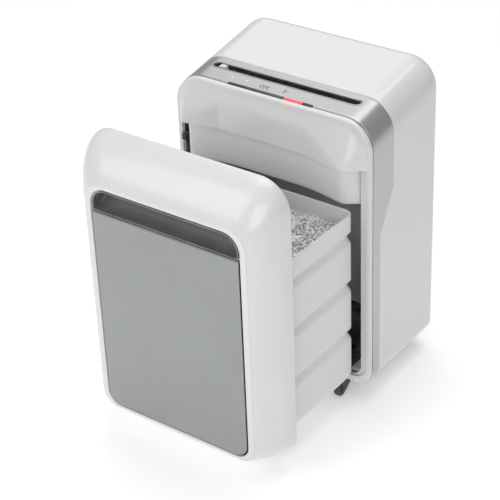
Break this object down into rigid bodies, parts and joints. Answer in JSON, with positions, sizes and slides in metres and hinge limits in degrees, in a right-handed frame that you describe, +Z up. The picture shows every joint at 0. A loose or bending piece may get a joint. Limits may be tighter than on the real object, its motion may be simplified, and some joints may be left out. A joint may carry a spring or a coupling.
{
  "type": "paper shredder",
  "caption": "Upright office paper shredder on casters with a pull-out waste bin, a sloping top with an entry slot and a silver control band.",
  "frame": {"origin": "on the floor under the middle of the whole machine with its bin drawn out", "axes": "+X to the machine's right as seen from the front, +Y towards the back, +Z up"},
  "size_m": [0.37, 0.4848, 0.5341],
  "materials": {
    "white_gloss": "moulded gloss white plastic",
    "light_grey": "moulded light grey plastic, low sheen",
    "satin_silver": "satin silver lacquer on plastic",
    "band_silver": "metallic silver lacquer, fine brushed look",
    "pocket_grey": "dark grey satin plastic",
    "black_plastic": "black moulded plastic",
    "black_steel": "thick steel base plate, black powder coat",
    "caster_grey": "charcoal moulded plastic",
    "steel": "zinc-plated steel",
    "hard_steel": "oiled hardened steel",
    "bronze": "sintered bronze",
    "gear_nylon": "natural nylon",
    "board_green": "solder mask",
    "red_light": "lit red lens",
    "icon_white": "printed white",
    "shredded_paper": "micro-cut printed office paper"
  },
  "bodies": {
    "body": {"rear_cover": "white_gloss", "front_frame": "white_gloss", "control_band": "band_silver", "trim_strip_left": "band_silver", "trim_strip_right": "band_silver", "throat_bezel": "band_silver", "throat_guide": "white_gloss", "light_bar_left": "black_plastic", "light_bar_lit": "red_light", "light_bar_right": "black_plastic", "power_icon": "icon_white", "reverse_icon": "icon_white", "forward_icon": "icon_white", "lower_housing": "light_grey", "base_tray": "black_steel", "rail_left": "light_grey", "rail_right": "light_grey", "side_plate_left": "steel", "side_plate_right": "steel", "front_left_bush": "bronze", "front_right_bush": "bronze", "rear_left_bush": "bronze", "rear_right_bush": "bronze", "tie_rod_front": "steel", "tie_rod_rear": "steel", "comb_front": "steel", "comb_rear": "steel", "motor_case": "hard_steel", "idler_axle": "steel", "control_board": "board_green", "power_board": "board_green", "paper_sensor": "black_plastic", "bin_switch": "black_plastic", "vent_grille": "light_grey", "power_inlet": "black_plastic", "rocker_frame": "black_plastic"},
    "bin": {"bin_panel": "white_gloss", "inset_plate": "satin_silver", "handle_pocket": "pocket_grey", "bin_tub": "light_grey", "panel_screw_left": "steel", "panel_screw_right": "steel", "paper_shreds": "shredded_paper"},
    "rear_cutter_set": {"rear_cutter": "hard_steel", "rear_sync_gear": "steel", "drive_gear": "steel"},
    "front_cutter_set": {"front_cutter": "hard_steel", "front_sync_gear": "steel"},
    "idler": {"idler_gear": "gear_nylon"},
    "motor_rotor": {"motor_pinion": "steel"},
    "power_rocker": {"rocker": "black_plastic"},
    "bin_plunger": {"switch_plunger": "black_plastic"},
    "front_left_caster": {"front_left_fork": "caster_grey"},
    "front_left_roller": {"front_left_wheel": "caster_grey"},
    "front_right_caster": {"front_right_fork": "caster_grey"},
    "front_right_roller": {"front_right_wheel": "caster_grey"},
    "rear_left_caster": {"rear_left_fork": "caster_grey"},
    "rear_left_roller": {"rear_left_wheel": "caster_grey"},
    "rear_right_caster": {"rear_right_fork": "caster_grey"},
    "rear_right_roller": {"rear_right_wheel": "caster_grey"}
  },
  "joints": [
    {"name": "bin_slide", "type": "slide", "parent": "body", "child": "bin", "axis": [0, -1, 0], "range_m": [-0.2055, 0.03]},
    {"name": "rear_cutter_spin", "type": "hinge", "parent": "body", "child": "rear_cutter_set", "pos_m": [0, 0.0919, 0.42], "axis": [1, 0, 0], "continuous": true},
    {"name": "front_cutter_spin", "type": "hinge", "parent": "body", "child": "front_cutter_set", "pos_m": [0, 0.0619, 0.42], "axis": [1, 0, 0], "continuous": true},
    {"name": "idler_spin", "type": "hinge", "parent": "body", "child": "idler", "pos_m": [0.1475, 0.1212, 0.41483], "axis": [1, 0, 0], "continuous": true},
    {"name": "motor_spin", "type": "hinge", "parent": "body", "child": "motor_rotor", "pos_m": [0.13, 0.14565, 0.42003], "axis": [1, 0, 0], "continuous": true},
    {"name": "rocker_tilt", "type": "hinge", "parent": "body", "child": "power_rocker", "pos_m": [0.081, 0.2294, 0.389], "axis": [1, 0, 0], "range_deg": [-7, 7]},
    {"name": "plunger_press", "type": "slide", "parent": "body", "child": "bin_plunger", "axis": [0, 1, 0], "range_m": [0, 0.0035], "stiffness_N_per_m": 150, "springref_m": -0.002},
    {"name": "front_left_swivel", "type": "hinge", "parent": "body", "child": "front_left_caster", "pos_m": [-0.132, 0.0414, 0.03], "axis": [0, 0, 1], "continuous": true},
    {"name": "front_left_roll", "type": "hinge", "parent": "front_left_caster", "child": "front_left_roller", "pos_m": [-0.132, 0.0194, 0.0125], "axis": [1, 0, 0], "continuous": true},
    {"name": "front_right_swivel", "type": "hinge", "parent": "body", "child": "front_right_caster", "pos_m": [0.132, 0.0414, 0.03], "axis": [0, 0, 1], "continuous": true},
    {"name": "front_right_roll", "type": "hinge", "parent": "front_right_caster", "child": "front_right_roller", "pos_m": [0.132, 0.0194, 0.0125], "axis": [1, 0, 0], "continuous": true},
    {"name": "rear_left_swivel", "type": "hinge", "parent": "body", "child": "rear_left_caster", "pos_m": [-0.132, 0.2079, 0.03], "axis": [0, 0, 1], "continuous": true},
    {"name": "rear_left_roll", "type": "hinge", "parent": "rear_left_caster", "child": "rear_left_roller", "pos_m": [-0.132, 0.2299, 0.0125], "axis": [1, 0, 0], "continuous": true},
    {"name": "rear_right_swivel", "type": "hinge", "parent": "body", "child": "rear_right_caster", "pos_m": [0.132, 0.2079, 0.03], "axis": [0, 0, 1], "continuous": true},
    {"name": "rear_right_roll", "type": "hinge", "parent": "rear_right_caster", "child": "rear_right_roller", "pos_m": [0.132, 0.2299, 0.0125], "axis": [1, 0, 0], "continuous": true}
  ],
  "couplings": [
    {"joint": "front_cutter_spin", "follows": "rear_cutter_spin", "ratio": -1},
    {"joint": "idler_spin", "follows": "rear_cutter_spin", "ratio": -2.4},
    {"joint": "motor_spin", "follows": "rear_cutter_spin", "ratio": 7.2}
  ]
}
